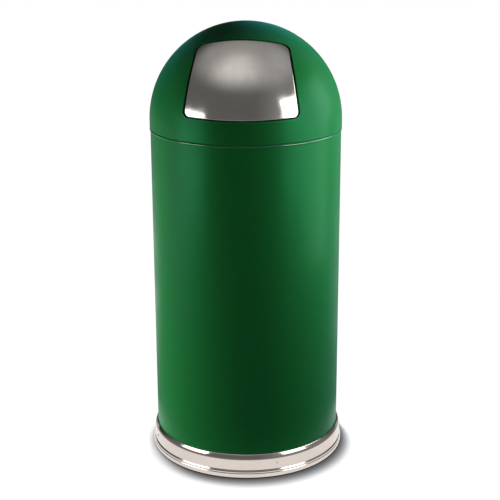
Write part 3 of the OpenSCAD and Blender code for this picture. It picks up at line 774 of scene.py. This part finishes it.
dome_leg = leg_to_skin(on_coil(coil_from, first_turn), -to_coil, DOME_INSIDE)
door_leg = leg_to_skin(on_coil(coil_to, last_turn), to_door, DOOR_INSIDE)
dome_centre = Vector((0, 0, DOME_Z))
hinge_at = door_place(0, *HINGE) + dome_centre
for side, node in ((-1, "torsion_spring_left"), (1, "torsion_spring_right")):
    start = door_place(*(on_coil(coil_from, first_turn) + dome_leg)) + dome_centre
    run = door_place(*dome_leg)
    put_away()
    bpy.ops.mesh.primitive_circle_add(
        vertices=16, radius=WIRE_R * MM, fill_type="NGON",
        location=(side * start.x, start.y, start.z), rotation=(math.atan2(-run.y, run.z), 0, 0))
    spring = bpy.context.object
    spring.name = spring.data.name = node + "_wire"
    bpy.ops.object.transform_apply(location=True, rotation=True)
    open_up(spring)
    bpy.ops.mesh.extrude_region_move(TRANSFORM_OT_translate={"value": -run})
    along = side * (coil_to - coil_from) / STEPS * MM
    for step in range(STEPS):
        bpy.ops.mesh.extrude_region_move(TRANSFORM_OT_translate={"value": (along, 0, 0)})
        bpy.ops.transform.rotate(value=-(last_turn - first_turn) / STEPS, orient_axis="X",
                                 center_override=hinge_at)
    bpy.ops.mesh.extrude_region_move(TRANSFORM_OT_translate={"value": door_place(*door_leg)})
    make_good(spring, angle=50)
    spring.data.materials.append(zinc_plate)
    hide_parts(node)
    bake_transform(spring)


# ---------------------------------------------------------------- studio
# A plain pale floor and background, and the camera at the photograph's view. Two soft panels
# light the bin, and four more at its sides only show as highlights in its paint and steel.

bpy.context.scene.view_settings.view_transform = "Standard"

distance, eye_height, tilt = 2.4606, 1.186, math.radians(72.696)
turn, pan, roll = math.radians(3.2), -0.003, -0.0039
lens = bpy.data.cameras.new("camera")
camera = bpy.data.objects.new("camera", lens)
bpy.context.scene.collection.objects.link(camera)
bpy.context.scene.camera = camera
lens.lens = 89.97
lens.sensor_width = 36
camera.matrix_world = (
    Matrix.Translation((distance * math.sin(turn), -distance * math.cos(turn), eye_height))
    @ Matrix.Rotation(turn + pan, 4, "Z")
    @ Matrix.Rotation(tilt, 4, "X")
    @ Matrix.Rotation(roll, 4, "Z"))


def by_ray(tree, seen, mirrored, bounced):
    """What the camera sees, what metal and glass mirror, and what lights the object."""
    path = add(tree, "LightPath")
    clear = work(tree, "MAXIMUM", path.outputs["Is Glossy Ray"],
                 path.outputs["Is Transmission Ray"])
    inner = add(tree, "MixShader", Fac=clear)
    feed(tree, inner.inputs[1], bounced)
    feed(tree, inner.inputs[2], mirrored)
    outer = add(tree, "MixShader", Fac=path.outputs["Is Camera Ray"])
    feed(tree, outer.inputs[1], inner.outputs[0])
    feed(tree, outer.inputs[2], seen)
    return outer.outputs[0]


def product(tree, first, *others):
    """Multiplies several numbers or other nodes' outputs."""
    for term in others:
        first = work(tree, "MULTIPLY", first, term)
    return first


put_away()
bpy.ops.mesh.primitive_plane_add(size=12)
floor = bpy.context.object
floor.name = "floor"
white = (1, 1, 1, 1)
paper, tree, shader = new_material("paper floor", Base_Color=(0.08, 0.08, 0.08, 1), Roughness=0.9,
                                   Specular_IOR_Level=0.1, Emission_Color=white)
place = add(tree, "TexCoord").outputs["Object"]
length = add(tree, "VectorMath", {"operation": "LENGTH"})
feed(tree, length.inputs[0], place)
way = add(tree, "VectorMath", {"operation": "NORMALIZE"})
feed(tree, way.inputs[0], place)
way = add(tree, "SeparateXYZ", Vector=way.outputs[0])
away, right, back = length.outputs["Value"], way.outputs["X"], way.outputs["Y"]

# the bin's shade: it reaches furthest a little to the right of the front and is faint at the left
least_reach, front_reach = 0.016, 0.031
forwards = work(tree, "SUBTRACT", work(tree, "MULTIPLY", right, 0.26),
                work(tree, "MULTIPLY", back, 0.97))
reach = work(tree, "MULTIPLY_ADD", work(tree, "MAXIMUM", forwards, 0), front_reach, least_reach)
closeness = add(tree, "AmbientOcclusion", {"samples": 16}, Distance=reach).outputs["AO"]
depth = ramp(tree, right, -1, -0.3, 1.4, 5.6)
feed(tree, shader.inputs["Emission Strength"], work(tree, "POWER", closeness, depth))

# what steel mirrors of the floor: bright close to the bin and in a patch behind it, else dark
dark = 0.25
near = ramp(tree, away, 0.36, 0.29)
patch = product(
    tree, ramp(tree, back, 0.5, 0.65, 0, 0.65), ramp(tree, away, 2.8, 1.3, 0.1, 1),
    ramp(tree, away, 0.4, 0.9, 0.15, 1), ramp(tree, right, -0.05, 0.15, 1, 0.4))
glow = add(tree, "Emission",
           Strength=work(tree, "MAXIMUM", near, work(tree, "ADD", dark, patch)))
bounce = add(tree, "BsdfDiffuse", Color=(0.25, 0.25, 0.25, 1))
feed(tree, tree.nodes["Material Output"].inputs["Surface"],
     by_ray(tree, shader.outputs[0], glow.outputs[0], bounce.outputs[0]))
floor.data.materials.append(paper)


def soft_light(name, place, target, width, height, glow, colour=(1, 1, 1)):
    """A panel of soft light, width along the floor and height, whose face glows this many times
    as bright as its colour."""
    lamp = bpy.data.lights.new(name, "AREA")
    lamp.shape = "RECTANGLE"
    lamp.size = width
    lamp.size_y = height
    lamp.energy = glow * math.pi * width * height
    lamp.color = colour
    light = bpy.data.objects.new(name, lamp)
    bpy.context.scene.collection.objects.link(light)
    light.visible_camera = False
    light.matrix_world = Matrix.Translation(place) @ (
        (Vector(place) - Vector(target)).to_track_quat("Z", "Y").to_matrix().to_4x4())
    return light


for fill in (
        ("right_fill", (0.84, 0.18, 0.87), (0, 0.16, 0.85), 1.5, 0.42, 8.4, (0.95, 1, 1.2)),
        ("left_fill", (-1.25, 0, 0.26), (0, 0, 0.26), 1.7, 0.5, 7.6, (1, 1, 1.06))):
    soft_light(*fill).visible_glossy = False
for box in (
        ("right_box", (0.945, -0.583, 0.775), (0, 0, 0.775), 0.56, 0.95, 3.6),
        ("left_box", (-1.015, -0.6, 0.6), (0, 0, 0.6), 0.68, 0.7, 3.2),
        ("high_box", (0.9, 0.11, 0.94), (0, 0.11, 0.94), 0.56, 0.52, 3.6),
        ("near_box", (0.45, -0.1, 0.525), (0, -0.1, 0.525), 0.26, 0.37, 2.7)):
    soft_light(*box).visible_diffuse = False

world = bpy.data.worlds.new("studio")
bpy.context.scene.world = world
world.use_nodes = True
tree = world.node_tree
way = add(tree, "SeparateXYZ", Vector=add(tree, "TexCoord").outputs["Generated"])
right, back, up = way.outputs["X"], way.outputs["Y"], way.outputs["Z"]

# what steel mirrors of the room: walls, and a ceiling with an oval pool of light over the front
across = work(tree, "DIVIDE", work(tree, "ADD", right, 0.13), 0.62)
along = work(tree, "DIVIDE", work(tree, "ADD", back, 0.34), 0.55)
from_pool = work(tree, "SQRT", work(tree, "ADD", work(tree, "POWER", across, 2),
                                    work(tree, "POWER", along, 2)))
overhead = work(tree, "MULTIPLY", ramp(tree, up, 0.58, 0.88), ramp(tree, back, 0.75, 0.3))
pool = work(tree, "ADD", 0.28, ramp(tree, from_pool, 1, 0, 0, 0.55))
ceiling = work(tree, "MULTIPLY", pool, overhead)
walls = work(tree, "ADD", ramp(tree, back, 0.6, 0.1, 0.03, 0.15),
             ramp(tree, right, 0.2, 0.7, 0, 0.1))
room = work(tree, "ADD", ceiling, walls)
seen = tree.nodes["Background"]
seen.inputs["Color"].default_value = white
mirrored = add(tree, "Background", Strength=room, Color=white)
bounced = add(tree, "Background", Strength=work(tree, "MULTIPLY", room, 0.15), Color=white)
feed(tree, tree.nodes["World Output"].inputs["Surface"],
     by_ray(tree, seen.outputs[0], mirrored.outputs[0], bounced.outputs[0]))
